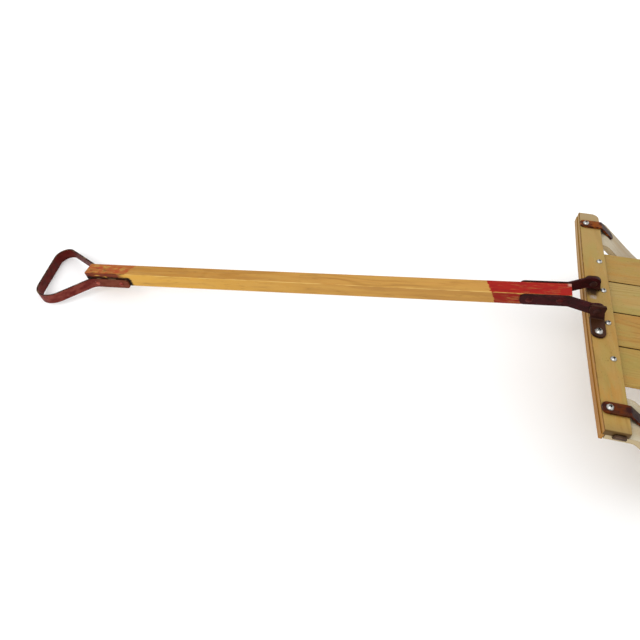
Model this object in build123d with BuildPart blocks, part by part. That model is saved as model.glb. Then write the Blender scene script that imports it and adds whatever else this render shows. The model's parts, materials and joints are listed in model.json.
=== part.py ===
from build123d import *
import os
from math import asin, atan2, cos, degrees, hypot, radians, sin, tan

# A child's wooden ski sled with a long pull handle, in millimetres.
# +X runs from the grip to the rear of the sled, +Y to the rider's right, +Z up.
# The origin is on the floor, under the middle of the whole object, with the grip laid down.

os.makedirs("parts", exist_ok=True)

# Boards
SLAT_PITCH = 69.0
SLAT_GAP = 2.0
SLAT_THICK = 6.0
SLAT_ROWS = (-1.5, -0.5, 0.5, 1.5)      # slat centres across the deck, in pitches
BOARD = 9.0                             # thickness of crossboard and skis
SLAT_START = 5.6                        # from the crossboard's front edge
SLAT_END = 875.0
SLAT_TAIL_ROUND = 6.0
EASE = 1.2                              # worn arris on boards

# Crossboard
TOP = 167.0                             # its top, above the floor
CROSS_ENDS = {"left": 225.0, "right": 235.0}   # it was fixed a little off centre
CROSS_DEPTH = 36.7                      # at the middle
CROSS_CORNERS = {"left": 4.0, "right": 12.0}
BOW = 3.8                               # how far the ends fall behind the middle of the front
APRON_DEPTH = 3.6                       # its back face, from the crossboard's front edge
APRON_LEAD = 1.2                        # its front face stands proud of that edge
APRON_HEIGHT = 12.0
APRON_INSET = 1.0
APRON_ROUND = 1.6

# Skis
SKI_Y = 192.8
SKI_WIDTH = 64.0
SKI_START = 7.8
SKI_END = 930.0
SKI_SLOPE = radians(40.0)
SKI_TAIL_ROUND = 22.0
TIP_BEND = 25.0
SWEEP_BEND = 430.0

# Strap iron
IRON = 3.2
GRIP_STRAP = 20.5
FORK_STRAP = 19.5
BRACE_STRAP = 17.0
CLIP_STRAP = 15.0
STRAP_ROUND = 7.0
FULL_ROUND = 0.99                       # radius of a rounded strap end, in half widths

# Handle bar and its hinge
BAR_WIDTH = 27.4
BAR_HEIGHT_FORK = 22.6                  # the bar grows taller towards the grip
BAR_HEIGHT_GRIP = 30.0
BAR_START = 33.0                        # distances along the handle from the hinge axis
BAR_END = 906.5
BAR_EASE = 1.6
BAR_END_EASE = 3.0
HINGE_X = 5.3                           # from the crossboard's front edge
HINGE_Z = 16.8                          # above the crossboard
GRIP_START = 812.0
GRIP_DROP = 7.8                         # the grip strap sits low on the bar's sides
GRIP_RIVETS = (829.0, 883.0)
FORK_END = 106.0
FORK_RIVETS = (49.5, 93.0)
FORK_RISE = 1.8                         # the fork straps sit a little high
ARM_LEAVES_BAR = 37.0                   # where an arm turns out from the bar, and back beside its ear
ARM_MEETS_EAR = 8.0
ARM_BENDS = (14.0, 10.0)
FLOOR_GAP = 0.2                         # under the grip as it lies down

# Hinge brackets
BRACKET_WIDTH = 20.0
BRACKET_X = 10.6
BRACKET_BEND = 2.2
EAR_Y = 30.0                            # inner face of each ear
EAR_GAP = 0.4                           # between a fork arm and its ear
EAR_ROUND = 11.0
EAR_CORNERS = {"left": 3.0, "right": 10.9}   # the left ear was left square
FOOT_END = {"left": 68.5, "right": 62.0}
FOOT_ROUND = 9.5
PIVOT_R = 3.0
PIVOT_SLACK = 0.3                       # along the pivot rivet
RUNNING_FIT = 0.06

# Deck supports
BEARER_X = (440.0, 770.0)
BEARER_DEPTH = 45.0
BEARER_THICK = 22.0
BEARER_HALF = 214.0
KNEE_THICK = 20.0
KNEE_FOOT = 84.0
KNEE_HEAD = 50.0
KNEE_EASE = 2.5
BEARER_CORNER = 6.0
KNEE_SCREW_SPREAD = 15.0
SOLE_SCREW_SPREAD = 28.0

# Braces over the crossboard's ends, and clips around them
BRACE_Y = {"left": 190.0, "right": 200.5}
BRACE_START = 3.0
BRACE_CLEARANCE = 0.6                   # behind the crossboard, before a brace bends down
BRACE_RUN = 33.0                        # length of the sloping end
BRACE_BEND = 3.0
BRACE_SCREW_RUN = 25.0
CLIP_X = 24.0
CLIP_REACH = 26.0                       # of its foot between crossboard and ski
CLIP_GAP = 1.0                          # off the crossboard's end
CLIP_TOP = 3.6                          # below the crossboard's top
CLIP_BEND = 0.9
CLIP_ROUND = 2.5

# Fasteners
FIT = 0.1                               # clearance of a shank in its hole
TIP_ROOM = 1.0                          # beyond a screw's tip in a blind hole
SCREW_R = 2.2                           # shanks
BOLT_R = 3.0
BRACE_BOLT_R = 2.5
BRACE_SCREW_R = 1.8
SCREW_HEAD = (4.4, 3.4)                 # radius and height of each domed head
BRACE_BOLT_HEAD = (5.0, 3.8)
BRACKET_BOLT_HEAD = (5.8, 4.2)
RIVET_HEAD = (5.2, 2.2)
PIVOT_HEAD = (5.6, 2.0)
SOLE_HEAD_R = 4.2                       # countersunk heads
BRACE_SCREW_HEAD_R = 3.8
SLAT_SCREW_LENGTH = 14.0
BEARER_SCREW_LENGTH = 26.0
KNEE_SCREW_LENGTH = 46.0
SOLE_SCREW_LENGTH = 36.0
BRACE_SCREW_LENGTH = 10.0
SLOT_DEPTH = 0.9                        # in a countersunk head
SLOT_WIDTH = 1.05
RECESS_SPAN = 0.95                      # cross recess, in head radii
RECESS_WIDTH = 0.34
RECESS_DEPTH = 0.55                     # in head heights
SLAT_SCREW_X = 26.7
BRACE_BOLT_X = 12.4
BRACKET_BOLT_Y = {"left": 58.0, "right": 50.5}
NUT_FLATS = 10.0
NUT_HEIGHT = 5.0
BOLT_TAIL = 2.5

SIDES = {"left": -1, "right": 1}


def grip_outline(plane):
    """Edge view of the hand-bent grip: one strap that runs back along both sides of the bar."""
    half_bar = BAR_WIDTH / 2 + IRON / 2
    with BuildSketch(plane) as outline:
        with BuildLine():
            FilletPolyline(
                (GRIP_START, -half_bar),
                (893, -half_bar),
                (1030.5, -87),
                (992, 101),
                (894, half_bar),
                (GRIP_START, half_bar),
                radius=[16, 21, 37, 24],
            )
        trace(line_width=IRON)
    return outline.sketch


def strap_outline(plane, corners, radii, side):
    """Edge view of a bent flat strap: one face of it, thickened to the given side."""
    with BuildSketch(plane) as outline:
        with BuildLine():
            FilletPolyline(*corners, radius=radii)
            offset(amount=IRON, side=side)
        make_face()
    return outline.sketch


def end_edges(strap):
    """Short edges through a strap's thickness, at its square ends."""
    return strap.edges().filter_by(lambda edge: abs(edge.length - IRON) < 0.01)


def save(piece, name):
    """Name a finished piece and write it."""
    piece.part.label = name
    export_step(piece.part, f"parts/{name}.step")


# Where things lie
reach = grip_outline(Plane.XY).bounding_box().max.X
grip_low = GRIP_STRAP / 2 + GRIP_DROP
hinge_height = TOP + HINGE_Z
droop = asin((hinge_height - FLOOR_GAP) / hypot(reach, grip_low)) - atan2(grip_low, reach)
grip_high = GRIP_STRAP / 2 - GRIP_DROP
handle_span = reach * cos(droop) + grip_high * sin(droop)
front_x = (handle_span - HINGE_X - SKI_END) / 2

cross_bottom = TOP - BOARD
slat_bottom = cross_bottom - SLAT_THICK
bearer_bottom = slat_bottom - BEARER_THICK
hinge_x = front_x + HINGE_X

# Local x of the handle plane runs along the handle to the grip, its z is the bar's upper side
along = Vector(-cos(droop), 0, -sin(droop))
upper = Vector(-sin(droop), 0, cos(droop))
handle_plane = Plane(origin=(hinge_x, 0, hinge_height), x_dir=along, z_dir=upper)
grip_plane = handle_plane.offset(-GRIP_DROP)


def handle_pin(distance, drop=0.0):
    """Location on the bar's left face, with z pointing out to the left."""
    place = handle_plane.origin + along * distance - upper * drop
    out = Plane(origin=place - Vector(0, BAR_WIDTH / 2 + IRON, 0), x_dir=along, z_dir=(0, -1, 0))
    return out.location


def cap_middle(radius, height):
    """Middle point (r, z) of the arc over one half of a spherical cap."""
    ball = (radius ** 2 + height ** 2) / (2 * height)
    half_angle = asin(radius / ball) / 2
    return ball * sin(half_angle), height - ball + ball * cos(half_angle)


# Fastener shapes, each with z up, its head above z = 0 and its shank below
def domed(head_r, head_h, shank_r, length):
    """Domed head with a cross recess, on a plain shank."""
    with BuildPart() as fastener:
        with BuildSketch(Plane.XZ):
            with BuildLine():
                Polyline(
                    (0, head_h),
                    (0, -length),
                    (shank_r, -length),
                    (shank_r, 0),
                    (head_r, 0),
                )
                ThreePointArc((head_r, 0), cap_middle(head_r, head_h), (0, head_h))
            make_face()
        revolve(axis=Axis.Z)
        with BuildSketch(Plane.XY.offset(head_h)):
            Rectangle(head_r * RECESS_SPAN, head_r * RECESS_WIDTH)
            Rectangle(head_r * RECESS_WIDTH, head_r * RECESS_SPAN)
        extrude(amount=-head_h * RECESS_DEPTH, mode=Mode.SUBTRACT)
    return fastener.part


def countersunk(head_r, shank_r, length):
    """Flat-headed screw whose head lies flush at z = 0."""
    with BuildPart() as fastener:
        with BuildSketch(Plane.XZ):
            with BuildLine():
                Polyline(
                    (0, 0),
                    (head_r, 0),
                    (shank_r, shank_r - head_r),
                    (shank_r, -length),
                    (0, -length),
                    close=True,
                )
            make_face()
        revolve(axis=Axis.Z)
        with BuildSketch():
            Rectangle(head_r * 3, SLOT_WIDTH)
        extrude(amount=-SLOT_DEPTH, mode=Mode.SUBTRACT)
    return fastener.part


def riveted(head_r, head_h, shank_r, grip):
    """Rivet with a dome at z = 0 and another one, set by hammer, past its grip length."""
    cap_r, cap_z = cap_middle(head_r, head_h)
    with BuildPart() as fastener:
        with BuildSketch(Plane.XZ):
            with BuildLine():
                ThreePointArc((0, head_h), (cap_r, cap_z), (head_r, 0))
                Polyline((head_r, 0), (shank_r, 0), (shank_r, -grip), (head_r, -grip))
                ThreePointArc((head_r, -grip), (cap_r, -grip - cap_z), (0, -grip - head_h))
                Line((0, -grip - head_h), (0, head_h))
            make_face()
        revolve(axis=Axis.Z)
    return fastener.part


def hex_nut(bore_r):
    """Hexagon nut with its upper face at z = 0."""
    with BuildPart() as fastener:
        with BuildSketch():
            RegularPolygon(NUT_FLATS / 2, 6, major_radius=False)
            Circle(bore_r, mode=Mode.SUBTRACT)
        extrude(amount=-NUT_HEIGHT)
    return fastener.part


slat_screw = domed(*SCREW_HEAD, SCREW_R, SLAT_SCREW_LENGTH)
bearer_screw = domed(*SCREW_HEAD, SCREW_R, BEARER_SCREW_LENGTH)
knee_screw = domed(*SCREW_HEAD, SCREW_R, KNEE_SCREW_LENGTH)
sole_screw = countersunk(SOLE_HEAD_R, SCREW_R, SOLE_SCREW_LENGTH)
brace_screw = countersunk(BRACE_SCREW_HEAD_R, BRACE_SCREW_R, BRACE_SCREW_LENGTH)
bar_rivet = riveted(*RIVET_HEAD, BOLT_R, BAR_WIDTH + 2 * IRON)
pivot_rivet = riveted(*PIVOT_HEAD, PIVOT_R, 2 * IRON + EAR_GAP + PIVOT_SLACK)

brace_grip = IRON + 2 * BOARD
bracket_grip = IRON + BOARD + SLAT_THICK
brace_bolt = domed(*BRACE_BOLT_HEAD, BRACE_BOLT_R, brace_grip + NUT_HEIGHT + BOLT_TAIL)
bracket_bolt = domed(*BRACKET_BOLT_HEAD, BOLT_R, bracket_grip + NUT_HEIGHT + BOLT_TAIL)

slat_screw_points = [
    (front_x + SLAT_SCREW_X, row * SLAT_PITCH, TOP)
    for row in SLAT_ROWS
]
brace_bolt_points = {
    name: (front_x + BRACE_BOLT_X, side * BRACE_Y[name], TOP + IRON)
    for name, side in SIDES.items()
}
bracket_bolt_points = {
    name: (front_x + BRACKET_X, side * BRACKET_BOLT_Y[name], TOP + IRON)
    for name, side in SIDES.items()
}
bearer_screw_points = [
    (front_x + x, row * SLAT_PITCH, cross_bottom)
    for x in BEARER_X
    for row in SLAT_ROWS
]
knee_places = {
    f"{end}_{name}": (front_x + x, side)
    for end, x in zip(("front", "rear"), BEARER_X)
    for name, side in SIDES.items()
}


def drill(points, radius, depth=2 * KNEE_SCREW_LENGTH):
    """Straight holes down from the given points."""
    with Locations(*points):
        Cylinder(
            radius,
            depth,
            align=(Align.CENTER, Align.CENTER, Align.MAX),
            mode=Mode.SUBTRACT,
        )


# Crossboard: a bowed front edge, softened arrises and worn rear corners
with BuildPart() as crossboard:
    with BuildSketch(Plane.XY.offset(TOP)) as board_face:
        with BuildLine():
            ThreePointArc(
                (front_x + BOW, -CROSS_ENDS["left"]),
                (front_x, 0),
                (front_x + BOW, CROSS_ENDS["right"]),
            )
            Polyline(
                (front_x + BOW, CROSS_ENDS["right"]),
                (front_x + CROSS_DEPTH, CROSS_ENDS["right"]),
                (front_x + CROSS_DEPTH, -CROSS_ENDS["left"]),
                (front_x + BOW, -CROSS_ENDS["left"]),
            )
        make_face()
        rear_corners = board_face.vertices().group_by(Axis.X)[-1].sort_by(Axis.Y)
        fillet(rear_corners[0], CROSS_CORNERS["left"])
        rear_corners = board_face.vertices().group_by(Axis.X)[-1].sort_by(Axis.Y)
        fillet(rear_corners[-1], CROSS_CORNERS["right"])
    extrude(amount=-BOARD)
    fillet(crossboard.faces().sort_by(Axis.Z)[-1].edges(), EASE)
    drill(slat_screw_points, SCREW_R + FIT)
    drill(brace_bolt_points.values(), BRACE_BOLT_R + FIT)
    drill(bracket_bolt_points.values(), BOLT_R + FIT)
save(crossboard, "crossboard")

# Front apron: a narrow strip under the crossboard's front edge, which covers the slats' ends
with BuildPart() as front_apron:
    with BuildSketch(Plane.XY.offset(cross_bottom)):
        with BuildLine():
            left_end = APRON_INSET - CROSS_ENDS["left"]
            right_end = CROSS_ENDS["right"] - APRON_INSET
            ThreePointArc(
                (front_x + BOW - APRON_LEAD, left_end),
                (front_x - APRON_LEAD, 0),
                (front_x + BOW - APRON_LEAD, right_end),
            )
            Line((front_x + BOW - APRON_LEAD, right_end), (front_x + BOW + APRON_DEPTH, right_end))
            ThreePointArc(
                (front_x + BOW + APRON_DEPTH, right_end),
                (front_x + APRON_DEPTH, 0),
                (front_x + BOW + APRON_DEPTH, left_end),
            )
            Line((front_x + BOW + APRON_DEPTH, left_end), (front_x + BOW - APRON_LEAD, left_end))
        make_face()
    extrude(amount=-APRON_HEIGHT)
    fillet(front_apron.edges().group_by(Axis.Z)[0].group_by(Axis.X)[0], APRON_ROUND)
save(front_apron, "front_apron")

# Slats
for number, row in enumerate(SLAT_ROWS, start=1):
    with BuildPart() as slat:
        with BuildSketch(Plane.XY.offset(cross_bottom)) as slat_face:
            with Locations((front_x + (SLAT_START + SLAT_END) / 2, row * SLAT_PITCH)):
                Rectangle(SLAT_END - SLAT_START, SLAT_PITCH - SLAT_GAP)
            fillet(slat_face.vertices().group_by(Axis.X)[-1], SLAT_TAIL_ROUND)
        extrude(amount=-SLAT_THICK)
        long_edges = slat.faces().sort_by(Axis.Z)[-1].edges().filter_by(Axis.X)
        fillet(long_edges, EASE)
        drill(slat_screw_points + bearer_screw_points, SCREW_R + FIT)
        drill(bracket_bolt_points.values(), BOLT_R + FIT)
    save(slat, f"slat_{number}")

with BuildPart() as slat_screws:
    with Locations(*slat_screw_points):
        add(slat_screw)
save(slat_screws, "slat_screws")

# Bearers under the slats
for end, x in zip(("front", "rear"), BEARER_X):
    with BuildPart() as bearer:
        with BuildSketch(Plane.XY.offset(slat_bottom)):
            with Locations((front_x + x, 0)):
                RectangleRounded(BEARER_DEPTH, 2 * BEARER_HALF, BEARER_CORNER)
        extrude(amount=-BEARER_THICK)
        fillet(bearer.faces().sort_by(Axis.Z)[-1].edges(), EASE)
        drill(bearer_screw_points, SCREW_R + FIT, depth=BEARER_SCREW_LENGTH + FIT)
        knee_screw_points = [
            (front_x + x + step, side * SKI_Y, slat_bottom)
            for side in SIDES.values()
            for step in (-KNEE_SCREW_SPREAD, KNEE_SCREW_SPREAD)
        ]
        drill(knee_screw_points, SCREW_R + FIT)
    save(bearer, f"bearer_{end}")

with BuildPart() as bearer_screws:
    with Locations(*bearer_screw_points):
        add(bearer_screw)
save(bearer_screws, "bearer_screws")

# Knees: tapered blocks that carry the bearers on the skis
for name, (x, side) in knee_places.items():
    with BuildPart() as knee:
        with BuildSketch(Plane.XZ.offset(-side * SKI_Y)):
            with BuildLine():
                Polyline(
                    (x - KNEE_FOOT / 2, BOARD),
                    (x + KNEE_FOOT / 2, BOARD),
                    (x + KNEE_HEAD / 2, bearer_bottom),
                    (x - KNEE_HEAD / 2, bearer_bottom),
                    close=True,
                )
            make_face()
        extrude(amount=KNEE_THICK / 2, both=True)
        fillet(knee.edges().filter_by(lambda edge: abs(edge.tangent_at(0).Z) > 0.5), KNEE_EASE)
        with Locations(*[(x + step, side * SKI_Y, bearer_bottom) for step in
                         (-KNEE_SCREW_SPREAD, KNEE_SCREW_SPREAD)]):
            Hole(SCREW_R + FIT, depth=KNEE_SCREW_LENGTH - BEARER_THICK + TIP_ROOM)
        with Locations(*[Location((x + step, side * SKI_Y, BOARD), (180, 0, 0)) for step in
                         (-SOLE_SCREW_SPREAD, SOLE_SCREW_SPREAD)]):
            Hole(SCREW_R + FIT, depth=SOLE_SCREW_LENGTH - BOARD + TIP_ROOM)
    save(knee, f"knee_{name}")

with BuildPart() as knee_screws:
    for x, side in knee_places.values():
        with Locations(
            (x - KNEE_SCREW_SPREAD, side * SKI_Y, slat_bottom),
            (x + KNEE_SCREW_SPREAD, side * SKI_Y, slat_bottom),
        ):
            add(knee_screw)
save(knee_screws, "knee_screws")

with BuildPart() as sole_screws:
    for x, side in knee_places.values():
        with Locations(
            Location((x - SOLE_SCREW_SPREAD, side * SKI_Y, FIT), (180, 0, 0)),
            Location((x + SOLE_SCREW_SPREAD, side * SKI_Y, FIT), (180, 0, 0)),
        ):
            add(sole_screw)
save(sole_screws, "sole_screws")

# Skis: bent boards that start under the crossboard and sweep down to the ground.
# The upper face leaves the crossboard's level where a brace laid over both touches it.
brace_corner = front_x + CROSS_DEPTH + BRACE_CLEARANCE
tip_corner = brace_corner + BOARD / tan(SKI_SLOPE)
sweep_corner = tip_corner + (cross_bottom - BOARD) / tan(SKI_SLOPE)
ski_line = [
    (front_x + SKI_START, cross_bottom),
    (tip_corner, cross_bottom),
    (sweep_corner, BOARD),
    (front_x + SKI_END, BOARD),
]

# Braces: straps over the crossboard's ends and down onto the skis
brace_line = [
    (front_x + BRACE_START, TOP),
    (brace_corner, TOP),
    (brace_corner + BRACE_RUN * cos(SKI_SLOPE), TOP - BRACE_RUN * sin(SKI_SLOPE)),
]
slope_out = Vector(sin(SKI_SLOPE), 0, cos(SKI_SLOPE))


def brace_screw_place(name):
    """Location on the sloping end of a brace, with z out of its upper face."""
    foot = Vector(
        brace_corner + BRACE_SCREW_RUN * cos(SKI_SLOPE),
        SIDES[name] * BRACE_Y[name],
        TOP - BRACE_SCREW_RUN * sin(SKI_SLOPE),
    )
    return Plane(origin=foot + slope_out * IRON, x_dir=(0, 1, 0), z_dir=slope_out).location


for name, side in SIDES.items():
    with BuildPart() as ski:
        with BuildSketch(Plane.XZ.offset(-side * SKI_Y)):
            with BuildLine():
                FilletPolyline(*ski_line, radius=[TIP_BEND, SWEEP_BEND])
                offset(amount=BOARD, side=Side.RIGHT)
            make_face()
        extrude(amount=SKI_WIDTH / 2, both=True)
        fillet(ski.edges().filter_by(Axis.Z).group_by(Axis.X)[-1], SKI_TAIL_ROUND)
        with BuildSketch(Plane.XY.offset(cross_bottom)):
            with Locations((front_x + CLIP_X, side * CROSS_ENDS[name])):
                Rectangle(CLIP_STRAP + 2 * FIT, 2 * (CLIP_REACH + FIT))
        extrude(amount=-IRON - FIT, mode=Mode.SUBTRACT)
        drill([brace_bolt_points[name]], BRACE_BOLT_R + FIT)
        with Locations(brace_screw_place(name)):
            Hole(BRACE_SCREW_R + FIT, depth=BRACE_SCREW_LENGTH + FIT)
        with Locations(*[
            Location((x + step, side * SKI_Y, 0), (180, 0, 0))
            for x, knee_side in knee_places.values()
            if knee_side == side
            for step in (-SOLE_SCREW_SPREAD, SOLE_SCREW_SPREAD)
        ]):
            CounterSinkHole(SCREW_R + FIT, SOLE_HEAD_R + FIT, depth=BOARD, counter_sink_angle=90)
    save(ski, f"ski_{name}")

    with BuildPart() as brace:
        add(extrude(
            strap_outline(Plane.XZ.offset(-side * BRACE_Y[name]), brace_line, [BRACE_BEND], Side.LEFT),
            amount=BRACE_STRAP / 2,
            both=True,
            mode=Mode.PRIVATE,
        ))
        fillet(end_edges(brace), STRAP_ROUND)
        drill([brace_bolt_points[name]], BRACE_BOLT_R + FIT)
        with Locations(brace_screw_place(name)):
            CounterSinkHole(
                BRACE_SCREW_R + FIT,
                BRACE_SCREW_HEAD_R + FIT,
                depth=BOARD,
                counter_sink_angle=90,
            )
    save(brace, f"brace_{name}")

with BuildPart() as brace_screws:
    with Locations(*[brace_screw_place(name) for name in SIDES]):
        add(brace_screw)
save(brace_screws, "brace_screws")

# Tip clips: straps let into the skis under the crossboard and turned up at its ends
for name, side in SIDES.items():
    clip_line = [
        (side * (CROSS_ENDS[name] - CLIP_REACH), cross_bottom - IRON),
        (side * (CROSS_ENDS[name] + CLIP_GAP + IRON), cross_bottom - IRON),
        (side * (CROSS_ENDS[name] + CLIP_GAP + IRON), TOP - CLIP_TOP),
    ]
    clip_side = Side.LEFT if side > 0 else Side.RIGHT
    with BuildPart() as tip_clip:
        add(extrude(
            strap_outline(Plane.YZ.offset(front_x + CLIP_X), clip_line, [CLIP_BEND + IRON], clip_side),
            amount=CLIP_STRAP / 2,
            both=True,
            mode=Mode.PRIVATE,
        ))
        fillet(end_edges(tip_clip), CLIP_ROUND)
    save(tip_clip, f"tip_clip_{name}")

with BuildPart() as brace_bolts:
    with Locations(*brace_bolt_points.values()):
        add(brace_bolt)
save(brace_bolts, "brace_bolts")

with BuildPart() as brace_nuts:
    with Locations(*[
        (x, y, top - brace_grip) for x, y, top in brace_bolt_points.values()
    ]):
        add(hex_nut(BRACE_BOLT_R + FIT))
save(brace_nuts, "brace_nuts")

# Hinge brackets: an ear that leans forward and a foot turned out along the crossboard
foot_left = front_x + BRACKET_X - BRACKET_WIDTH / 2
foot_right = front_x + BRACKET_X + BRACKET_WIDTH / 2
for name, side in SIDES.items():
    bracket_line = [
        (side * EAR_Y, TOP + HINGE_Z + 2 * EAR_ROUND),
        (side * EAR_Y, TOP),
        (side * FOOT_END[name], TOP),
    ]
    bracket_side = Side.LEFT if side > 0 else Side.RIGHT
    with BuildPart() as bracket:
        add(extrude(
            strap_outline(Plane.YZ.offset(hinge_x), bracket_line, [IRON + BRACKET_BEND], bracket_side),
            amount=2 * BRACKET_WIDTH,
            both=True,
            mode=Mode.PRIVATE,
        ))
        with BuildSketch(Plane.XZ) as ear_face:
            with BuildLine():
                Polyline(
                    (foot_left, TOP),
                    (foot_right, TOP),
                    (foot_right, TOP + IRON),
                    (hinge_x + EAR_ROUND, TOP + HINGE_Z),
                    (hinge_x + EAR_ROUND, TOP + HINGE_Z + EAR_ROUND),
                    (hinge_x - EAR_ROUND, TOP + HINGE_Z + EAR_ROUND),
                    (hinge_x - EAR_ROUND, TOP + HINGE_Z),
                    (foot_left, TOP + IRON),
                    close=True,
                )
            make_face()
            fillet(ear_face.vertices().group_by(Axis.Y)[-1], EAR_CORNERS[name])
        extrude(amount=2 * SKI_Y, both=True, mode=Mode.INTERSECT)
        upright_edges = bracket.edges().filter_by(Axis.Z).sort_by(lambda edge: abs(edge.center().Y))
        fillet(upright_edges[-2:], FOOT_ROUND)
        drill([bracket_bolt_points[name]], BOLT_R + FIT)
        with Locations(Location((hinge_x, side * EAR_Y, TOP + HINGE_Z), (90, 0, 0))):
            Cylinder(PIVOT_R + FIT, 4 * IRON, mode=Mode.SUBTRACT)
    save(bracket, f"bracket_{name}")

    # The rivet's set end lies inside, past the fork arm that turns on it
    with BuildPart() as pivot:
        turn = -90 * side
        with Locations(Location((hinge_x, side * (EAR_Y + IRON), TOP + HINGE_Z), (turn, 0, 0))):
            add(pivot_rivet)
    save(pivot, f"pivot_rivet_{name}")

with BuildPart() as bracket_bolts:
    with Locations(*bracket_bolt_points.values()):
        add(bracket_bolt)
save(bracket_bolts, "bracket_bolts")

with BuildPart() as bracket_nuts:
    with Locations(*[
        (x, y, top - bracket_grip) for x, y, top in bracket_bolt_points.values()
    ]):
        add(hex_nut(BOLT_R + FIT))
save(bracket_nuts, "bracket_nuts")

# Handle bar
with BuildPart() as handle_bar:
    with BuildSketch(Plane(handle_plane.origin, x_dir=along, z_dir=(0, -1, 0))):
        with BuildLine():
            Polyline(
                (BAR_START, BAR_HEIGHT_FORK / 2),
                (BAR_END, BAR_HEIGHT_GRIP / 2),
                (BAR_END, -BAR_HEIGHT_GRIP / 2),
                (BAR_START, -BAR_HEIGHT_FORK / 2),
                close=True,
            )
        make_face()
    extrude(amount=BAR_WIDTH / 2, both=True)
    long_edges = handle_bar.edges().filter_by(lambda edge: edge.length > BAR_WIDTH * 2)
    fillet(long_edges, BAR_EASE)
    grip_end = handle_bar.faces().sort_by(Axis.X)[0]
    fillet(grip_end.edges(), BAR_END_EASE)
    with Locations(
        *[handle_pin(distance, -FORK_RISE) for distance in FORK_RIVETS],
        *[handle_pin(distance, GRIP_DROP) for distance in GRIP_RIVETS],
    ):
        Cylinder(BOLT_R + FIT, 4 * BAR_WIDTH, mode=Mode.SUBTRACT)
save(handle_bar, "handle_bar")

# Fork arms: straps along the bar's sides that spread to the brackets' ears
arm_face = BAR_WIDTH / 2                # inner face against the bar
ear_face_y = EAR_Y - EAR_GAP - IRON     # inner face beside an ear
for name, side in SIDES.items():
    arm_line = [
        (FORK_END, -side * arm_face),
        (ARM_LEAVES_BAR, -side * arm_face),
        (ARM_MEETS_EAR, -side * ear_face_y),
        (-FORK_STRAP / 2, -side * ear_face_y),
    ]
    arm_side = Side.LEFT if side > 0 else Side.RIGHT
    with BuildPart() as fork_arm:
        add(extrude(
            strap_outline(handle_plane.offset(FORK_RISE), arm_line, ARM_BENDS, arm_side),
            amount=FORK_STRAP / 2,
            both=True,
            mode=Mode.PRIVATE,
        ))
        hinge_end = end_edges(fork_arm).sort_by(Axis.X)[-2:]
        fillet(hinge_end, FULL_ROUND * FORK_STRAP / 2)
        bar_end = end_edges(fork_arm).sort_by(Axis.X)[:2]
        fillet(bar_end, STRAP_ROUND)
        with Locations(*[handle_pin(distance, -FORK_RISE) for distance in FORK_RIVETS]):
            Cylinder(BOLT_R + FIT, 4 * BAR_WIDTH, mode=Mode.SUBTRACT)
        with Locations(handle_pin(0)):
            Cylinder(PIVOT_R + RUNNING_FIT, 8 * BAR_WIDTH, mode=Mode.SUBTRACT)
    save(fork_arm, f"fork_arm_{name}")

with BuildPart() as fork_rivets:
    with Locations(*[handle_pin(distance, -FORK_RISE) for distance in FORK_RIVETS]):
        add(bar_rivet)
save(fork_rivets, "fork_rivets")

# Grip
with BuildPart() as grip_loop:
    add(extrude(
        grip_outline(grip_plane),
        amount=GRIP_STRAP / 2,
        both=True,
        mode=Mode.PRIVATE,
    ))
    fillet(end_edges(grip_loop), STRAP_ROUND)
    with Locations(*[handle_pin(distance, GRIP_DROP) for distance in GRIP_RIVETS]):
        Cylinder(BOLT_R + FIT, 4 * BAR_WIDTH, mode=Mode.SUBTRACT)
save(grip_loop, "grip_loop")

with BuildPart() as grip_rivets:
    with Locations(*[handle_pin(distance, GRIP_DROP) for distance in GRIP_RIVETS]):
        add(bar_rivet)
save(grip_rivets, "grip_rivets")

print("droop, degrees:", round(degrees(droop), 3), " front edge x:", round(front_x, 3))
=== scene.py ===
import json
from math import atan2, cos, pi, radians, sin, tan

import bpy
from mathutils import Matrix, Vector


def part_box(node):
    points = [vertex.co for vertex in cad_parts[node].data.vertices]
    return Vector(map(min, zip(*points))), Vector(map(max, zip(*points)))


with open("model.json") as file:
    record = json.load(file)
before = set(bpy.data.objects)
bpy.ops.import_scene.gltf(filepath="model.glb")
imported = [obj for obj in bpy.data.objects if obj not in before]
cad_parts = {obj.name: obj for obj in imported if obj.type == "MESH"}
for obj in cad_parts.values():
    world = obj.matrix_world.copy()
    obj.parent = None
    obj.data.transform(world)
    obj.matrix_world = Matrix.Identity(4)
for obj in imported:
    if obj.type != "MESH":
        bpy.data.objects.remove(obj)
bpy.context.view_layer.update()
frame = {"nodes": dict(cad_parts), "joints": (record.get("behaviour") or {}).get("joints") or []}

nodes = frame["nodes"]

# Reference points of the object, in metres, +X rearward and +Y to the rider's right
board_low, board_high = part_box("crossboard")
FRONT = Vector((board_low.x, 0.0, board_high.z))    # middle of the crossboard's top front edge
HINGE = Vector(frame["joints"][0]["pos_m"])
bar_low, bar_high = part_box("handle_bar")
bar_middle = (bar_low + bar_high) / 2
DROOP = atan2(HINGE.z - bar_middle.z, HINGE.x - bar_middle.x)
ALONG = Vector((-cos(DROOP), 0.0, -sin(DROOP)))     # along the handle, from its hinge to its grip
UPPER = Vector((-sin(DROOP), 0.0, cos(DROOP)))      # out of the bar's upper face
REAR = Vector((1.0, 0.0, 0.0))
UP = Vector((0.0, 0.0, 1.0))

# Camera
CAMERA_FROM_FRONT = Vector((-0.2508, -0.6448, 0.5929))
CAMERA_YAW = -0.25738
CAMERA_PITCH = 0.83690
CAMERA_ROLL = -0.01690
SENSOR_WIDTH = 36.0
FOCAL_LENGTH = 30.15

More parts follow.
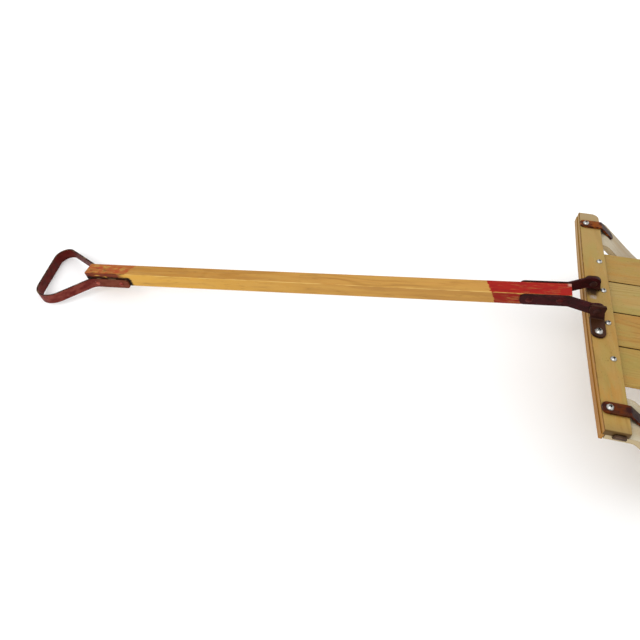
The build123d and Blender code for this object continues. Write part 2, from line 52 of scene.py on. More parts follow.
# Studio
ALBEDO_SHARE = 0.81                 # of a screen colour's linear value, in this light
SHEEN = 0.008                       # taken off every surface colour, as the highlights add about this much
SPECULAR = 0.08                     # weak highlights, so that the colours stay deep
WORLD_LIGHT = 1.0
LIGHT_TARGET = Vector((0.1, 0.0, 0.1))
KEY_PLACE = Vector((-1.4, -2.4, 2.4))
KEY_SIZE = 2.2
KEY_WATTS = 52.0
FILL_PLACE = Vector((1.8, 2.2, 2.0))
FILL_SIZE = 2.0
FILL_WATTS = 12.0
FLOOR_HALF = 40.0
FLOOR_Z = -0.0005
FLOOR_TONE = (0.98, 0.98, 0.98, 1.0)

# Places on the object, in millimetres
SKI_BOARD = 9.0
SKI_SLOPE = radians(40)             # of a ski's front end
RED_END = 148.5                     # along the handle from its hinge, where the fork's red paint stops
GRIP_PAINT_START = 805.0            # and where the paint at the grip begins
GRIP_STRAP_START = 812.0
GRIP_STRAP_SIDES = (-18.1, 2.5)     # its lower and upper edges, up from the line through the hinge


def add_camera():
    """A camera above the handle's near side, looking down at it."""
    forward = Vector((
        sin(CAMERA_YAW) * cos(CAMERA_PITCH),
        cos(CAMERA_YAW) * cos(CAMERA_PITCH),
        -sin(CAMERA_PITCH),
    ))
    level_right = Vector((cos(CAMERA_YAW), -sin(CAMERA_YAW), 0.0))
    level_up = level_right.cross(forward)
    right = cos(CAMERA_ROLL) * level_right + sin(CAMERA_ROLL) * level_up
    up = -sin(CAMERA_ROLL) * level_right + cos(CAMERA_ROLL) * level_up
    data = bpy.data.cameras.new("camera")
    data.sensor_width = SENSOR_WIDTH
    data.lens = FOCAL_LENGTH
    data.clip_start = 0.01
    camera = bpy.data.objects.new("camera", data)
    bpy.context.scene.collection.objects.link(camera)
    turn = Matrix((right, up, -forward)).transposed().to_4x4()
    camera.matrix_world = Matrix.Translation(FRONT + CAMERA_FROM_FRONT) @ turn
    bpy.context.scene.camera = camera


def add_area_light(name, place, aim, size, watts):
    """A square soft light at place, turned to aim."""
    data = bpy.data.lights.new(name, "AREA")
    data.shape = "SQUARE"
    data.size = size
    data.energy = watts
    light = bpy.data.objects.new(name, data)
    bpy.context.scene.collection.objects.link(light)
    light.location = place
    light.rotation_euler = (aim - place).to_track_quat("-Z", "Y").to_euler()


def add_floor():
    """A plain pale floor just under the object."""
    mesh = bpy.data.meshes.new("floor")
    shade_in_corners = [(-1, -1), (1, -1), (1, 1), (-1, 1)]
    mesh.from_pydata([(x * FLOOR_HALF, y * FLOOR_HALF, FLOOR_Z) for x, y in shade_in_corners], [], [(0, 1, 2, 3)])
    floor = bpy.data.objects.new("floor", mesh)
    bpy.context.scene.collection.objects.link(floor)
    paint = bpy.data.materials.new("floor")
    paint.use_nodes = True
    shader = paint.node_tree.nodes["Principled BSDF"]
    shader.inputs["Base Color"].default_value = FLOOR_TONE
    shader.inputs["Roughness"].default_value = 0.9
    shader.inputs["Specular IOR Level"].default_value = 0.1
    mesh.materials.append(paint)


def tone(red, green, blue):
    """Surface colour that looks like this 0 to 255 screen colour in the studio's light."""
    channels = []
    for value in (red, green, blue):
        share = value / 255
        flat = share / 12.92 if share <= 0.04045 else ((share + 0.055) / 1.055) ** 2.4
        channels.append(max(flat * ALBEDO_SHARE - SHEEN, 0.002))
    return (*channels, 1.0)


class Finish:
    """One material, built up in layers of colour, roughness and height over places in millimetres."""

    def __init__(self, name, seed, origin=FRONT, along=REAR, upper=UP):
        self.material = bpy.data.materials.new(name)
        self.material.use_nodes = True
        self.tree = self.material.node_tree
        self.shader = self.tree.nodes["Principled BSDF"]
        self.shader.inputs["Specular IOR Level"].default_value = SPECULAR
        self.seed = seed
        source = self.tree.nodes.new("ShaderNodeTexCoord")
        offset = self.vector("SUBTRACT", source.outputs["Object"], origin)
        self.x = self.math("MULTIPLY", self.dot(offset, along), 1000.0)
        self.y = self.math("MULTIPLY", self.dot(offset, (0, 1, 0)), 1000.0)
        self.z = self.math("MULTIPLY", self.dot(offset, upper), 1000.0)
        self.place = self.combine(self.x, self.y, self.z)
        normal = source.outputs["Normal"]
        self.faces_rear = self.dot(normal, along)
        self.faces_right = self.dot(normal, (0, 1, 0))
        self.faces_up = self.dot(normal, upper)
        self.colour = None
        self.rough = 0.5
        self.height = 0.0

    def put(self, node, index, value):
        """Link a socket to one of a node's inputs, or set the input to a plain value."""
        socket = node.inputs[index]
        if isinstance(value, bpy.types.NodeSocket):
            self.tree.links.new(value, socket)
        else:
            socket.default_value = value

    def math(self, operation, first, second=0.0, third=0.0):
        node = self.tree.nodes.new("ShaderNodeMath")
        node.operation = operation
        for index, value in enumerate((first, second, third)):
            self.put(node, index, value)
        return node.outputs[0]

    def vector(self, operation, first, second):
        node = self.tree.nodes.new("ShaderNodeVectorMath")
        node.operation = operation
        self.put(node, 0, first)
        self.put(node, 1, second)
        return node.outputs["Vector"]

    def dot(self, first, second):
        node = self.tree.nodes.new("ShaderNodeVectorMath")
        node.operation = "DOT_PRODUCT"
        self.put(node, 0, first)
        self.put(node, 1, second)
        return node.outputs["Value"]

    def combine(self, x, y, z):
        node = self.tree.nodes.new("ShaderNodeCombineXYZ")
        for index, value in enumerate((x, y, z)):
            self.put(node, index, value)
        return node.outputs[0]

    def ramp(self, value, start, end):
        """0 at start, 1 at end, eased between; start may be above end."""
        node = self.tree.nodes.new("ShaderNodeMapRange")
        node.interpolation_type = "SMOOTHSTEP"
        self.put(node, 0, value)
        self.put(node, 1, start)
        self.put(node, 2, end)
        return node.outputs[0]

    def both(self, *masks):
        """Product of masks."""
        result = masks[0]
        for mask in masks[1:]:
            result = self.math("MULTIPLY", result, mask)
        return result

    def either(self, first, second):
        return self.math("MAXIMUM", first, second)

    def blend(self, mask, first, second):
        """Colour between two colours."""
        node = self.tree.nodes.new("ShaderNodeMix")
        node.data_type = "RGBA"
        self.put(node, 0, mask)
        self.put(node, 6, first)
        self.put(node, 7, second)
        return node.outputs[2]

    def noise(self, size, detail=2.0, roughness=0.5, place=None):
        """Noise from 0 to 1, mostly 0.3 to 0.7, with blobs of about this size in mm on each axis."""
        self.seed += 7.31
        node = self.tree.nodes.new("ShaderNodeTexNoise")
        shrunk = self.vector("DIVIDE", place or self.place, size)
        moved = self.vector("ADD", shrunk, (self.seed, 1.7 * self.seed, -0.6 * self.seed))
        self.put(node, "Vector", moved)
        self.put(node, "Scale", 1.0)
        self.put(node, "Detail", detail)
        self.put(node, "Roughness", roughness)
        return node.outputs[0]

    def spots(self, size, start, end, detail=2.0, place=None):
        """Mask of noise blobs."""
        return self.ramp(self.noise(size, detail, place=place), start, end)

    def nearby(self, reach, start=0.9, end=0.45):
        """Mask of places that something stands over or beside, within reach in mm."""
        node = self.tree.nodes.new("ShaderNodeAmbientOcclusion")
        node.samples = 8
        self.put(node, "Distance", reach / 1000)
        return self.ramp(node.outputs["AO"], start, end)

    def edges(self, radius, start=0.02, end=0.2):
        """Mask of the sharp edges, about radius mm wide."""
        bevel = self.tree.nodes.new("ShaderNodeBevel")
        bevel.samples = 6
        self.put(bevel, "Radius", radius / 1000)
        geometry = self.tree.nodes.new("ShaderNodeNewGeometry")
        agreement = self.dot(bevel.outputs["Normal"], geometry.outputs["Normal"])
        return self.ramp(self.math("SUBTRACT", 1.0, agreement), start, end)

    def tint(self, mask, colour):
        """Change the colour only."""
        self.colour = self.blend(mask, self.colour, colour)

    def shade(self, amount):
        """Multiply the colour by a grey factor."""
        grey = self.combine(amount, amount, amount)
        node = self.tree.nodes.new("ShaderNodeMix")
        node.data_type = "RGBA"
        node.blend_type = "MULTIPLY"
        self.put(node, 0, 1.0)
        self.put(node, 6, self.colour)
        self.put(node, 7, grey)
        self.colour = node.outputs[2]

    def roughen(self, mask, rough):
        """Move the roughness towards a value."""
        change = self.math("SUBTRACT", rough, self.rough)
        self.rough = self.math("MULTIPLY_ADD", mask, change, self.rough)

    def lift(self, mask, millimetres):
        """Raise the surface where the mask is 1."""
        self.height = self.math("MULTIPLY_ADD", mask, millimetres, self.height)

    def cover(self, mask, colour, rough, millimetres=0.0):
        """A layer of paint, rust, dirt or bare material."""
        self.tint(mask, colour)
        self.roughen(mask, rough)
        self.lift(mask, millimetres)

    def finish(self, *names):
        """Connect the layers and give the material to CAD nodes."""
        bump = self.tree.nodes.new("ShaderNodeBump")
        self.put(bump, "Distance", 0.001)
        self.put(bump, "Height", self.height)
        self.tree.links.new(bump.outputs["Normal"], self.shader.inputs["Normal"])
        self.tree.links.new(self.colour, self.shader.inputs["Base Color"])
        self.tree.links.new(self.rough, self.shader.inputs["Roughness"])
        for name in names:
            slots = nodes[name].material_slots
            for slot in slots:
                slot.material = self.material


def grow_wood(wood, grain, light, dark, ring=4.0, pith=55.0):
    """Wood figure: growth rings cut nearly flat, long fibres and short dark flecks.

    grain holds places with x along the fibres.
    """
    wander = wood.noise((320, 60, 60), detail=1.5, place=grain)
    split = wood.tree.nodes.new("ShaderNodeSeparateXYZ")
    wood.put(split, 0, grain)
    across = wood.math("MULTIPLY_ADD", wander, 90.0, split.outputs[1])
    deep = wood.math("MULTIPLY_ADD", wood.noise((420, 90, 90), place=grain), 60.0, split.outputs[2])
    deep = wood.math("ADD", deep, pith - 30.0)
    radius = wood.math("SQRT", wood.math("ADD",
        wood.math("POWER", wood.math("SUBTRACT", across, 45.0), 2.0),
        wood.math("POWER", deep, 2.0)))
    wave = wood.math("SINE", wood.math("MULTIPLY", radius, 2 * pi / ring))
    ring_strength = wood.ramp(wood.noise((140, 22, 22), place=grain), 0.3, 0.6)
    late_wood = wood.both(wood.ramp(wave, 0.1, 1.0), ring_strength)
    fibres = wood.noise((70, 0.7, 0.9), detail=3.0, roughness=0.6, place=grain)
    flecks = wood.spots((14, 0.45, 0.5), 0.62, 0.74, place=grain)
    wood.colour = wood.blend(wood.math("MULTIPLY", late_wood, 0.55), light, dark)
    wood.tint(wood.math("MULTIPLY", wood.ramp(fibres, 0.5, 0.72), 0.45), dark)
    wood.tint(wood.math("MULTIPLY", flecks, 0.35), dark)
    wood.shade(wood.math("MULTIPLY_ADD", fibres, 0.22, 0.89))
    wood.rough = wood.math("MULTIPLY_ADD", fibres, 0.25, 0.32)
    wood.lift(fibres, 0.16)
    wood.lift(late_wood, 0.05)


def age_varnish(wood, grain, green, orange):
    """Old varnish: cloudy greener and more orange patches, specks, small dents and pale scuffs."""
    wood.tint(wood.math("MULTIPLY", wood.spots((75, 26, 26), 0.42, 0.66, place=grain), 0.75), green)
    wood.tint(wood.math("MULTIPLY", wood.spots((110, 20, 20), 0.45, 0.68, place=grain), 0.8), orange)
    wood.tint(wood.math("MULTIPLY", wood.spots((22, 9, 9), 0.5, 0.7, place=grain), 0.3), orange)
    wood.tint(wood.math("MULTIPLY", wood.spots((16, 10, 10), 0.52, 0.7, place=grain), 0.3), green)
    specks = wood.spots((2.6, 1.6, 1.6), 0.68, 0.76, detail=1.0, place=grain)
    wood.cover(wood.math("MULTIPLY", specks, 0.45), tone(92, 70, 38), 0.7, -0.08)
    scuffs = wood.both(
        wood.spots((26, 1.1, 1.1), 0.66, 0.74, place=grain),
        wood.spots((60, 40, 40), 0.5, 0.6, place=grain))
    wood.cover(wood.math("MULTIPLY", scuffs, 0.45), tone(204, 182, 134), 0.65, -0.05)
    dents = wood.spots((7, 3.5, 3.5), 0.66, 0.74, detail=0.0, place=grain)
    wood.lift(dents, -0.12)


def gather_grime_and_shade(wood, reach=5.0, strength=0.85):
    """Dirt beside hardware and in joints, together with painted shade wherever nearby parts occlude the
    surface.
    """
    patchy = wood.math("MULTIPLY_ADD", wood.noise((6, 6, 6)), 0.9, 0.45)
    grime_and_shade = wood.math("MULTIPLY", wood.both(wood.nearby(reach), patchy), strength)
    # dark dirt and painted shade where other parts stand close
    wood.cover(wood.math("MINIMUM", grime_and_shade, 1.0), tone(58, 42, 22), 0.8)


def varnish_coat(finish, weight):
    finish.shader.inputs["Coat Weight"].default_value = weight
    finish.shader.inputs["Coat Roughness"].default_value = 0.28


def finish_slats():
    """Four boards, each with its own figure and shade."""
    shades = {
        "slat_1": ((178, 147, 82), (150, 116, 56), (166, 144, 76), (180, 136, 68)),
        "slat_2": ((180, 138, 72), (142, 98, 44), (172, 146, 78), (178, 124, 56)),
        "slat_3": ((181, 154, 94), (150, 122, 62), (168, 152, 84), (182, 146, 84)),
        "slat_4": ((178, 143, 80), (146, 108, 50), (164, 144, 72), (180, 132, 62)),
    }
    for number, (name, (light, dark, green, orange)) in enumerate(shades.items()):
        wood = Finish(f"{name}_wood", 11.0 + 23.0 * number)
        grow_wood(wood, wood.place, tone(*light), tone(*dark), ring=5.0 + 0.6 * number)
        age_varnish(wood, wood.place, tone(*green), tone(*orange))
        rims = wood.edges(1.6)
        wood.cover(wood.math("MULTIPLY", rims, 0.75), tone(84, 56, 26), 0.6)
        gather_grime_and_shade(wood, 5.0, 1.0)
        varnish_coat(wood, 0.06)
        wood.finish(name)


def finish_crossboard():
    """The front board: browner on its front edge, stained and painted with shade beside its brackets, with a
    painted shadow and glint by the far one and a painted shade line along its rear edge, and worn at its
    ends.
    """
    wood = Finish("crossboard_wood", 131.0)
    grain = wood.combine(wood.y, wood.x, wood.z)
    grow_wood(wood, grain, tone(179, 144, 82), tone(150, 114, 56), ring=6.5, pith=80.0)
    age_varnish(wood, grain, tone(166, 146, 78), tone(180, 136, 68))
    wood.tint(wood.math("MULTIPLY", wood.ramp(wood.y, 40, 190), 0.45), tone(178, 150, 96))
    wood.tint(wood.math("MULTIPLY", wood.ramp(wood.y, 196, 226), 0.7), tone(172, 150, 116))
    wood.tint(wood.math("MULTIPLY", wood.ramp(wood.y, -206, -226), 0.6), tone(144, 122, 80))
    warm = wood.both(
        wood.ramp(wood.y, -120, -150), wood.ramp(wood.y, -200, -168),
        wood.spots((40, 12, 12), 0.4, 0.6, place=grain))
    wood.tint(wood.math("MULTIPLY", warm, 0.6), tone(184, 132, 62))
    near_end = wood.ramp(wood.y, -222.0, -224.5)
    wood.cover(wood.math("MULTIPLY", near_end, 0.8), tone(72, 48, 24), 0.6)
    gather_grime_and_shade(wood, 8.0, 1.0)
    front_face = wood.ramp(wood.faces_rear, -0.45, -0.85)
    browner = wood.blend(wood.ramp(wood.y, -150, 190), tone(170, 120, 56), tone(168, 128, 62))
    wood.tint(wood.math("MULTIPLY", front_face, 0.85), browner)
    arris = wood.both(wood.ramp(wood.faces_rear, -0.2, -0.5), wood.ramp(wood.faces_up, 0.1, 0.4))
    arris_wear = wood.math("MULTIPLY_ADD", wood.noise((9, 3, 3), place=grain), 1.1, 0.1)
    wood.cover(wood.both(arris, arris_wear), tone(84, 52, 22), 0.6)
    # painted shade: a dark line along the rear-facing edge
    rear_edge_shade = wood.both(wood.ramp(wood.faces_rear, 0.3, 0.7), wood.spots((12, 4, 4), 0.35, 0.5, place=grain))
    wood.cover(wood.math("MULTIPLY", rear_edge_shade, 0.6), tone(96, 70, 36), 0.6)
    # a dark stain and painted shadow in front of the far bracket's upright
    stain_and_shadow_blob = wood.both(
        wood.ramp(wood.y, 14, 24), wood.ramp(wood.y, 39, 29),
        wood.ramp(wood.x, -3, 4), wood.ramp(wood.x, 21, 12))
    stain_and_shadow = wood.both(stain_and_shadow_blob, wood.math("MULTIPLY_ADD", wood.noise((5, 5, 5), detail=4.0), 1.6, 0.1))
    wood.cover(wood.math("MINIMUM", stain_and_shadow, 0.92), tone(66, 50, 44), 0.5)
    # a pale scuff and painted glint next to that shadow
    scuff_and_glint = wood.both(
        wood.ramp(wood.y, 10, 15), wood.ramp(wood.y, 22, 17),
        wood.ramp(wood.x, 3, 8), wood.ramp(wood.x, 17, 12), wood.spots((3, 3, 3), 0.34, 0.56, detail=4.0))
    wood.cover(wood.math("MULTIPLY", scuff_and_glint, 0.75), tone(186, 174, 168), 0.35)
    varnish_coat(wood, 0.06)
    wood.finish("crossboard")


def finish_apron():
    """The strip under the crossboard's front edge, with a painted highlight along its middle."""
    wood = Finish("apron_wood", 157.0)
    grain = wood.combine(wood.y, wood.x, wood.z)
    grow_wood(wood, grain, tone(168, 118, 56), tone(128, 82, 36), ring=3.5)
    wood.tint(wood.math("MULTIPLY", wood.ramp(wood.y, -60, 200), 0.8), tone(164, 126, 64))
    # painted highlight: a lighter band along the strip's middle
    highlight_band = wood.both(
        wood.ramp(wood.z, -17.5, -14), wood.ramp(wood.z, -10, -13),
        wood.spots((60, 8, 8), 0.35, 0.6, place=grain))
    wood.cover(wood.math("MULTIPLY", highlight_band, 0.6), tone(190, 150, 90), 0.5)
    rims = wood.edges(1.2)
    wood.cover(wood.math("MULTIPLY", rims, 0.3), tone(96, 64, 30), 0.6)
    gather_grime_and_shade(wood, 2.0, 0.4)
    varnish_coat(wood, 0.05)
    wood.finish("front_apron")


def finish_skis():
    """Bare bleached boards, greyer on their tops and golden on their sides, with dark soles."""
    slope_start = (board_high.x - board_low.x) * 1000
    slope_drop = board_high.z * 1000 - SKI_BOARD
    for number, name in enumerate(("ski_left", "ski_right")):
        wood = Finish(f"{name}_wood", 211.0 + 31.0 * number)
        level = wood.math("MULTIPLY", wood.math("SUBTRACT", wood.x, slope_start), -tan(SKI_SLOPE))
        level = wood.math("MINIMUM", level, 0.0)
        level = wood.math("MAXIMUM", level, -slope_drop)
        grain = wood.combine(wood.x, wood.y, wood.math("SUBTRACT", wood.z, level))
        grow_wood(wood, grain, tone(204, 192, 166), tone(168, 150, 118), ring=4.2, pith=90.0)
        bleach = wood.spots((90, 16, 16), 0.42, 0.62, place=grain)
        wood.tint(wood.math("MULTIPLY", bleach, 0.7), tone(184, 172, 142))
        warm = wood.spots((120, 22, 22), 0.48, 0.66, place=grain)
        wood.tint(wood.math("MULTIPLY", warm, 0.6), tone(186, 162, 122))
        specks = wood.spots((3, 1.6, 1.6), 0.64, 0.74, place=grain)
        wood.cover(wood.math("MULTIPLY", specks, 0.5), tone(126, 104, 72), 0.8, -0.08)
        sides = wood.ramp(wood.math("ABSOLUTE", wood.faces_right), 0.5, 0.8)
        wood.tint(wood.math("MULTIPLY", sides, 0.75), tone(180, 158, 118))
        # browner near the deck, partly a painted shadow of the deck, strongest on the right ski
        browned_and_shaded = wood.both(wood.ramp(wood.x, 40, 95), wood.ramp(wood.x, 260, 150))
        browned_and_shaded = wood.math("MULTIPLY", browned_and_shaded, 0.5 if name == "ski_right" else 0.15)
        wood.tint(browned_and_shaded, tone(160, 134, 100))
        sole = wood.ramp(wood.faces_up, -0.4, -0.8)
        wood.cover(wood.math("MULTIPLY", sole, 0.6), tone(112, 92, 64), 0.7)
        rims = wood.edges(1.5)
        worn = wood.math("MULTIPLY_ADD", wood.noise((12, 3, 3), place=grain), 0.9, 0.0)
        wood.cover(wood.both(rims, worn), tone(128, 104, 72), 0.7)
        gather_grime_and_shade(wood, 5.0)
        wood.finish(name)


def finish_supports():
    """Bearers, with their grain across the sled, and upright knees."""
    for number, name in enumerate(("bearer_front", "bearer_rear")):
        wood = Finish(f"{name}_wood", 307.0 + 19.0 * number)
        grain = wood.combine(wood.y, wood.x, wood.z)
        grow_wood(wood, grain, tone(170, 134, 74), tone(134, 98, 46), ring=5.5)
        age_varnish(wood, grain, tone(156, 134, 70), tone(168, 122, 58))
        wood.cover(wood.math("MULTIPLY", wood.edges(1.5), 0.5), tone(96, 68, 32), 0.6)
        gather_grime_and_shade(wood)
        wood.finish(name)
    knees = [f"knee_{end}_{side}" for end in ("front", "rear") for side in ("left", "right")]
    for number, name in enumerate(knees):
        wood = Finish(f"{name}_wood", 353.0 + 13.0 * number)
        grain = wood.combine(wood.z, wood.x, wood.y)
        grow_wood(wood, grain, tone(168, 132, 72), tone(132, 96, 44), ring=4.5)
        age_varnish(wood, grain, tone(154, 132, 70), tone(168, 120, 56))
        wood.cover(wood.math("MULTIPLY", wood.edges(1.5), 0.5), tone(96, 68, 32), 0.6)
        gather_grime_and_shade(wood)
        wood.finish(name)


def paint_fork_end(wood, side, near_arris):
    """Red paint up to a ragged slanting end, rubbed, scratched and chipped."""
    wobble = wood.math("MULTIPLY", wood.math("SUBTRACT", wood.noise((5, 3, 3), detail=4.0), 0.5), 9.0)
    slant = wood.math("MULTIPLY", wood.math("ADD", wood.y, wood.z), 0.3)
    limit = wood.math("ADD", wood.math("ADD", slant, wobble), RED_END)
    painted = wood.ramp(wood.math("SUBTRACT", wood.x, limit), 0.7, -0.7)
    rubbed = wood.both(near_arris, wood.spots((26, 4, 4), 0.42, 0.56, detail=4.0))
    scratched = wood.spots((24, 0.7, 0.7), 0.63, 0.68)
    bare = wood.either(rubbed, wood.math("MULTIPLY", scratched, 0.85))
    bare = wood.either(bare, wood.both(side, wood.spots((30, 4, 4), 0.6, 0.7)))
    coat = wood.both(painted, wood.math("SUBTRACT", 1.0, bare))
    red = wood.blend(side, tone(166, 36, 22), tone(138, 40, 26))
    red = wood.blend(wood.math("MULTIPLY", wood.spots((20, 6, 6), 0.45, 0.68), 0.6), red, tone(144, 28, 20))
    wood.cover(coat, red, 0.42, 0.12)
    chip = wood.both(
        wood.ramp(wood.x, 39.5, 36), wood.ramp(wood.y, 5.5, 8), wood.ramp(wood.faces_up, 0.3, 0.6),
        wood.spots((2.2, 2.2, 2.2), 0.3, 0.42))
    wood.cover(wood.math("MULTIPLY", chip, 0.8), tone(208, 162, 146), 0.6)


def paint_grip_end(wood, side):
    """Remains of brown and red paint on top, and dark red along the sides."""
    from_slant = wood.math("MULTIPLY_ADD", wood.y, 0.45, wood.x)
    grip_zone = wood.ramp(from_slant, GRIP_PAINT_START, GRIP_PAINT_START + 6)
    top = wood.ramp(wood.faces_up, 0.5, 0.85)
    patches = wood.both(grip_zone, top, wood.spots((20, 7, 7), 0.36, 0.52, detail=3.0))
    wood.cover(wood.math("MULTIPLY", patches, 0.8), tone(170, 88, 42), 0.5, 0.06)
    redder = wood.both(grip_zone, top, wood.spots((15, 6, 6), 0.5, 0.6, detail=3.0))
    wood.cover(wood.math("MULTIPLY", redder, 0.75), tone(172, 62, 34), 0.5, 0.06)
    smudges = wood.both(
        wood.ramp(wood.x, 840, 872), wood.spots((12, 5, 5), 0.52, 0.64), wood.ramp(wood.y, 6, -4))
    wood.cover(wood.math("MULTIPLY", smudges, 0.7), tone(84, 60, 28), 0.7)
    along_side = wood.ramp(wood.x, GRIP_STRAP_START + 3, GRIP_STRAP_START + 22)
    strip = wood.both(side, along_side, wood.spots((30, 8, 8), 0.22, 0.42))
    wood.cover(wood.math("MULTIPLY", strip, 0.92), tone(104, 24, 16), 0.45, 0.06)


def grime_and_shadow_by_grip_straps(wood, side, near_arris):
    """A dark ragged halo round the grip's straps, grime and painted shadow, and dirt and painted shade on the
    arris above them.
    """
    strap_low, strap_high = GRIP_STRAP_SIDES
    middle = (strap_low + strap_high) / 2
    half_strap = (strap_high - strap_low) / 2
    off_middle = wood.math("ABSOLUTE", wood.math("SUBTRACT", wood.z, middle))
    past_side = wood.math("SUBTRACT", off_middle, half_strap)
    past_end = wood.math("SUBTRACT", GRIP_STRAP_START, wood.x)
    outside = wood.either(past_side, past_end)
    ragged = wood.math("MULTIPLY_ADD", wood.noise((5, 5, 5), detail=3.0), -9.0, outside)
    by_strap = wood.ramp(wood.x, GRIP_STRAP_START - 22, GRIP_STRAP_START - 12)
    # grime and painted shadow round the strap ends
    grime_and_shadow_halo = wood.both(wood.ramp(ragged, 4.2, -0.8), side, by_strap)
    wood.cover(grime_and_shadow_halo, tone(40, 32, 18), 0.7, -0.03)
    # dirt and painted shade along the near arris above the strap
    arris_dirt_and_shade = wood.both(
        near_arris, wood.ramp(wood.x, GRIP_STRAP_START, GRIP_STRAP_START + 6),
        wood.ramp(wood.x, 872, 846), wood.spots((10, 5, 5), 0.35, 0.5))
    wood.cover(wood.math("MULTIPLY", arris_dirt_and_shade, 0.85), tone(46, 36, 20), 0.7)


def finish_bar():
    """Golden bar with red paint worn back at both ends."""
    wood = Finish("bar_wood", 401.0, HINGE, ALONG, UPPER)
    grow_wood(wood, wood.place, tone(204, 152, 78), tone(162, 112, 50), ring=3.4, pith=35.0)
    side = wood.ramp(wood.math("ABSOLUTE", wood.faces_right), 0.55, 0.85)
    to_grip = wood.ramp(wood.x, 250, 820)
    wood.tint(wood.math("MULTIPLY", to_grip, 0.8), tone(180, 126, 52))
    # painted light and shade: the sides lighter towards the grip and darker towards the fork
    side_light_and_shade = wood.blend(to_grip, tone(176, 130, 68), tone(220, 170, 76))
    wood.tint(wood.math("MULTIPLY", side, 0.75), side_light_and_shade)
    clouds = wood.spots((90, 9, 9), 0.42, 0.68)
    wood.tint(wood.math("MULTIPLY", clouds, 0.45), tone(206, 160, 82))
    dull = wood.spots((60, 7, 7), 0.5, 0.7)
    wood.tint(wood.math("MULTIPLY", dull, 0.4), tone(168, 124, 66))
    dirt = wood.spots((18, 2.4, 2.4), 0.6, 0.74)
    wood.cover(wood.math("MULTIPLY", dirt, 0.35), tone(128, 90, 44), 0.7)
    arris = wood.both(
        wood.ramp(wood.math("ABSOLUTE", wood.faces_right), 0.25, 0.6),
        wood.ramp(wood.math("ABSOLUTE", wood.faces_up), 0.25, 0.6))
    # pale arrises: edge wear together with a painted highlight
    wood.cover(wood.both(arris, wood.spots((30, 3, 3), 0.35, 0.6)), tone(222, 184, 108), 0.4)
    near_arris = wood.both(arris, wood.ramp(wood.faces_right, -0.1, -0.3), wood.ramp(wood.faces_up, 0.1, 0.3))
    paint_fork_end(wood, side, near_arris)
    paint_grip_end(wood, side)
    grime_and_shadow_by_grip_straps(wood, side, near_arris)
    gather_grime_and_shade(wood, 3.5)
    varnish_coat(wood, 0.08)
    wood.finish("handle_bar")


def age_iron(iron, light, dark, rim, worn):
    """Brushed-on paint over hammered strap: mottled, darker at its rims, rubbed through in places, with
    painted shade where other parts stand close.
    """
    iron.colour = iron.blend(iron.spots((16, 16, 9), 0.38, 0.66, detail=4.0), light, dark)
    iron.tint(iron.math("MULTIPLY", iron.spots((4, 4, 3), 0.5, 0.68, detail=3.0), 0.45), dark)
    iron.rough = iron.math("MULTIPLY_ADD", iron.noise((7, 7, 7), detail=3.0), 0.45, 0.28)
    iron.lift(iron.noise((9, 9, 9), detail=1.0), 0.35)
    iron.lift(iron.noise((1.6, 1.6, 1.6), detail=3.0), 0.1)
    pits = iron.spots((2.2, 2.2, 2.2), 0.62, 0.74)
    iron.cover(iron.math("MULTIPLY", pits, 0.5), rim, 0.75, -0.12)
    edge = iron.edges(1.3)
    iron.cover(iron.math("MULTIPLY", edge, 0.85), rim, 0.6)
    rubbed = iron.both(edge, iron.spots((13, 7, 7), 0.5, 0.6))
    iron.cover(iron.math("MULTIPLY", rubbed, 0.7), worn, 0.4)
    # painted shade: near-black where other parts stand within 3 mm
    shade_in_corners = iron.math("MULTIPLY", iron.nearby(3.0), 0.7)
    iron.cover(shade_in_corners, tone(24, 17, 14), 0.85)


def finish_grip():
    """Oxide-red hand loop, darker across its far side."""
    iron = Finish("grip_iron", 503.0, HINGE, ALONG, UPPER)
    age_iron(iron, tone(130, 66, 57), tone(102, 42, 38), tone(52, 34, 27), tone(132, 108, 78))
    cross_piece = iron.ramp(iron.math("MULTIPLY_ADD", iron.y, 0.22, iron.x), 975, 1003)
    far_leg = iron.ramp(iron.y, -30, 30)
    deep = iron.either(cross_piece, iron.math("MULTIPLY", far_leg, 0.9))
    darker = iron.blend(iron.spots((20, 12, 9), 0.4, 0.62), tone(96, 32, 29), tone(72, 34, 30))
    iron.tint(iron.math("MULTIPLY", deep, 0.75), darker)
    strap = iron.ramp(iron.x, 892, 866)
    iron.tint(iron.math("MULTIPLY", strap, 0.5), tone(108, 60, 36))
    thin_edge = iron.ramp(iron.math("ABSOLUTE", iron.faces_up), 0.6, 0.9)
    edge_tone = iron.blend(iron.spots((18, 10, 10), 0.5, 0.62), tone(48, 32, 26), tone(112, 92, 68))
    iron.cover(iron.math("MULTIPLY", thin_edge, 0.85), edge_tone, 0.55)
    iron.finish("grip_loop")
    # rivets painted lighter pink: their own paint, and partly a painted highlight on their domes
    rivet = Finish("grip_rivet_iron", 523.0, HINGE, ALONG, UPPER)
    age_iron(rivet, tone(176, 96, 80), tone(124, 54, 46), tone(60, 34, 27), tone(206, 150, 134))
    rivet.finish("grip_rivets")


def finish_fork():
    """Dark maroon arms whose rivets show redder."""
    iron = Finish("fork_iron", 601.0, HINGE, ALONG, UPPER)
    age_iron(iron, tone(66, 31, 33), tone(50, 26, 28), tone(30, 18, 16), tone(90, 56, 48))
    iron.finish("fork_arm_left", "fork_arm_right")
    rivet = Finish("fork_rivet_iron", 617.0, HINGE, ALONG, UPPER)
    age_iron(rivet, tone(88, 38, 36), tone(58, 28, 27), tone(34, 20, 18), tone(120, 70, 58))
    rivet.finish("fork_rivets")


def finish_brackets():
    """Dark maroon brackets, with a browner foot."""
    iron = Finish("hinge_iron", 701.0)
    age_iron(iron, tone(68, 42, 38), tone(54, 36, 33), tone(32, 23, 20), tone(92, 66, 54))
    foot = iron.ramp(iron.faces_up, 0.5, 0.8)
    iron.tint(iron.math("MULTIPLY", foot, 0.6), tone(74, 50, 34))
    iron.finish("bracket_left", "bracket_right", "pivot_rivet_left", "pivot_rivet_right")


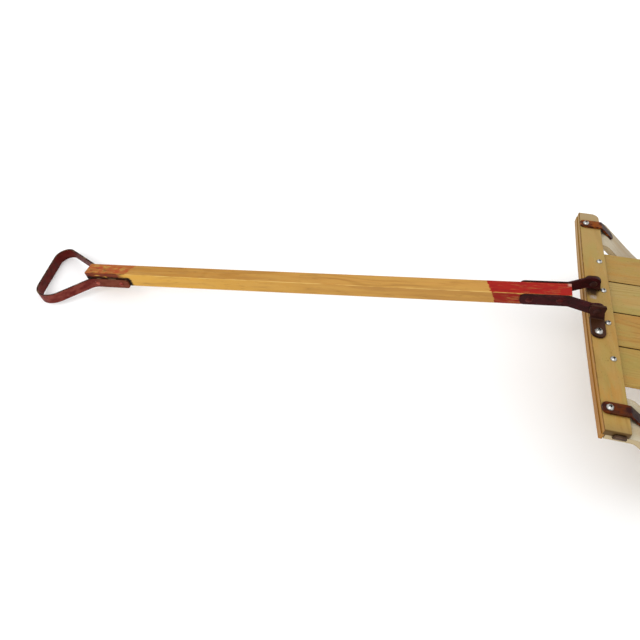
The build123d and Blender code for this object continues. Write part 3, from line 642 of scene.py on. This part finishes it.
def finish_braces():
    """Rusty straps: brown and orange on the flat, purple-grey down the slope."""
    iron = Finish("brace_iron", 809.0)
    age_iron(iron, tone(82, 44, 18), tone(56, 30, 14), tone(36, 22, 14), tone(112, 78, 48))
    rust = iron.spots((14, 10, 10), 0.48, 0.62, detail=4.0)
    iron.cover(iron.math("MULTIPLY", rust, 0.7), tone(108, 54, 20), 0.85, 0.08)
    orange = iron.both(iron.ramp(iron.y, 0, 100), iron.spots((9, 7, 7), 0.46, 0.58))
    iron.tint(iron.math("MULTIPLY", orange, 0.6), tone(156, 84, 32))
    slope = iron.ramp(iron.faces_rear, 0.25, 0.5)
    slope_tone = iron.blend(iron.spots((9, 9, 9), 0.4, 0.6), tone(66, 56, 50), tone(52, 40, 44))
    iron.cover(iron.math("MULTIPLY", slope, 0.9), slope_tone, 0.5)
    iron.finish("brace_left", "brace_right", "brace_screws")
    clip = Finish("clip_iron", 823.0)
    age_iron(clip, tone(94, 73, 59), tone(72, 56, 46), tone(48, 35, 27), tone(128, 104, 82))
    clip.finish("tip_clip_left", "tip_clip_right")


def finish_steel(name, seed, light, dark, tarnish_and_shade, *parts):
    """Plated steel with tarnish and painted shade darkening its recesses, and fine scratches."""
    steel = Finish(name, seed)
    steel.colour = steel.blend(steel.spots((3, 3, 3), 0.4, 0.7, detail=3.0), light, dark)
    steel.rough = steel.math("MULTIPLY_ADD", steel.noise((2, 2, 2), detail=3.0), 0.3, 0.16)
    steel.lift(steel.noise((0.5, 2.5, 0.5), detail=2.0), 0.03)
    # near-black in recesses and beside other parts: tarnish and painted shade
    steel.cover(steel.math("MULTIPLY", steel.nearby(2.6, 0.92, 0.5), 0.97), tarnish_and_shade, 0.8)
    steel.shader.inputs["Metallic"].default_value = 0.85
    steel.finish(*parts)


add_camera()
add_floor()
add_area_light("key", KEY_PLACE, LIGHT_TARGET, KEY_SIZE, KEY_WATTS)
add_area_light("fill", FILL_PLACE, LIGHT_TARGET, FILL_SIZE, FILL_WATTS)
world = bpy.data.worlds.new("studio")
bpy.context.scene.world = world
world.use_nodes = True
world.node_tree.nodes["Background"].inputs["Color"].default_value = (1, 1, 1, 1)
world.node_tree.nodes["Background"].inputs["Strength"].default_value = WORLD_LIGHT
bpy.context.scene.view_settings.view_transform = "Standard"

finish_slats()
finish_crossboard()
finish_apron()
finish_skis()
finish_supports()
finish_bar()
finish_grip()
finish_fork()
finish_brackets()
finish_braces()
finish_steel("bright_steel", 907.0, (0.50, 0.50, 0.48, 1), (0.30, 0.29, 0.27, 1), (0.02, 0.018, 0.015, 1),
    "slat_screws", "bearer_screws", "knee_screws", "brace_bolts", "bracket_bolts")
finish_steel("dull_steel", 929.0, (0.30, 0.28, 0.26, 1), (0.20, 0.18, 0.16, 1), (0.03, 0.025, 0.02, 1),
    "sole_screws", "brace_nuts", "bracket_nuts")
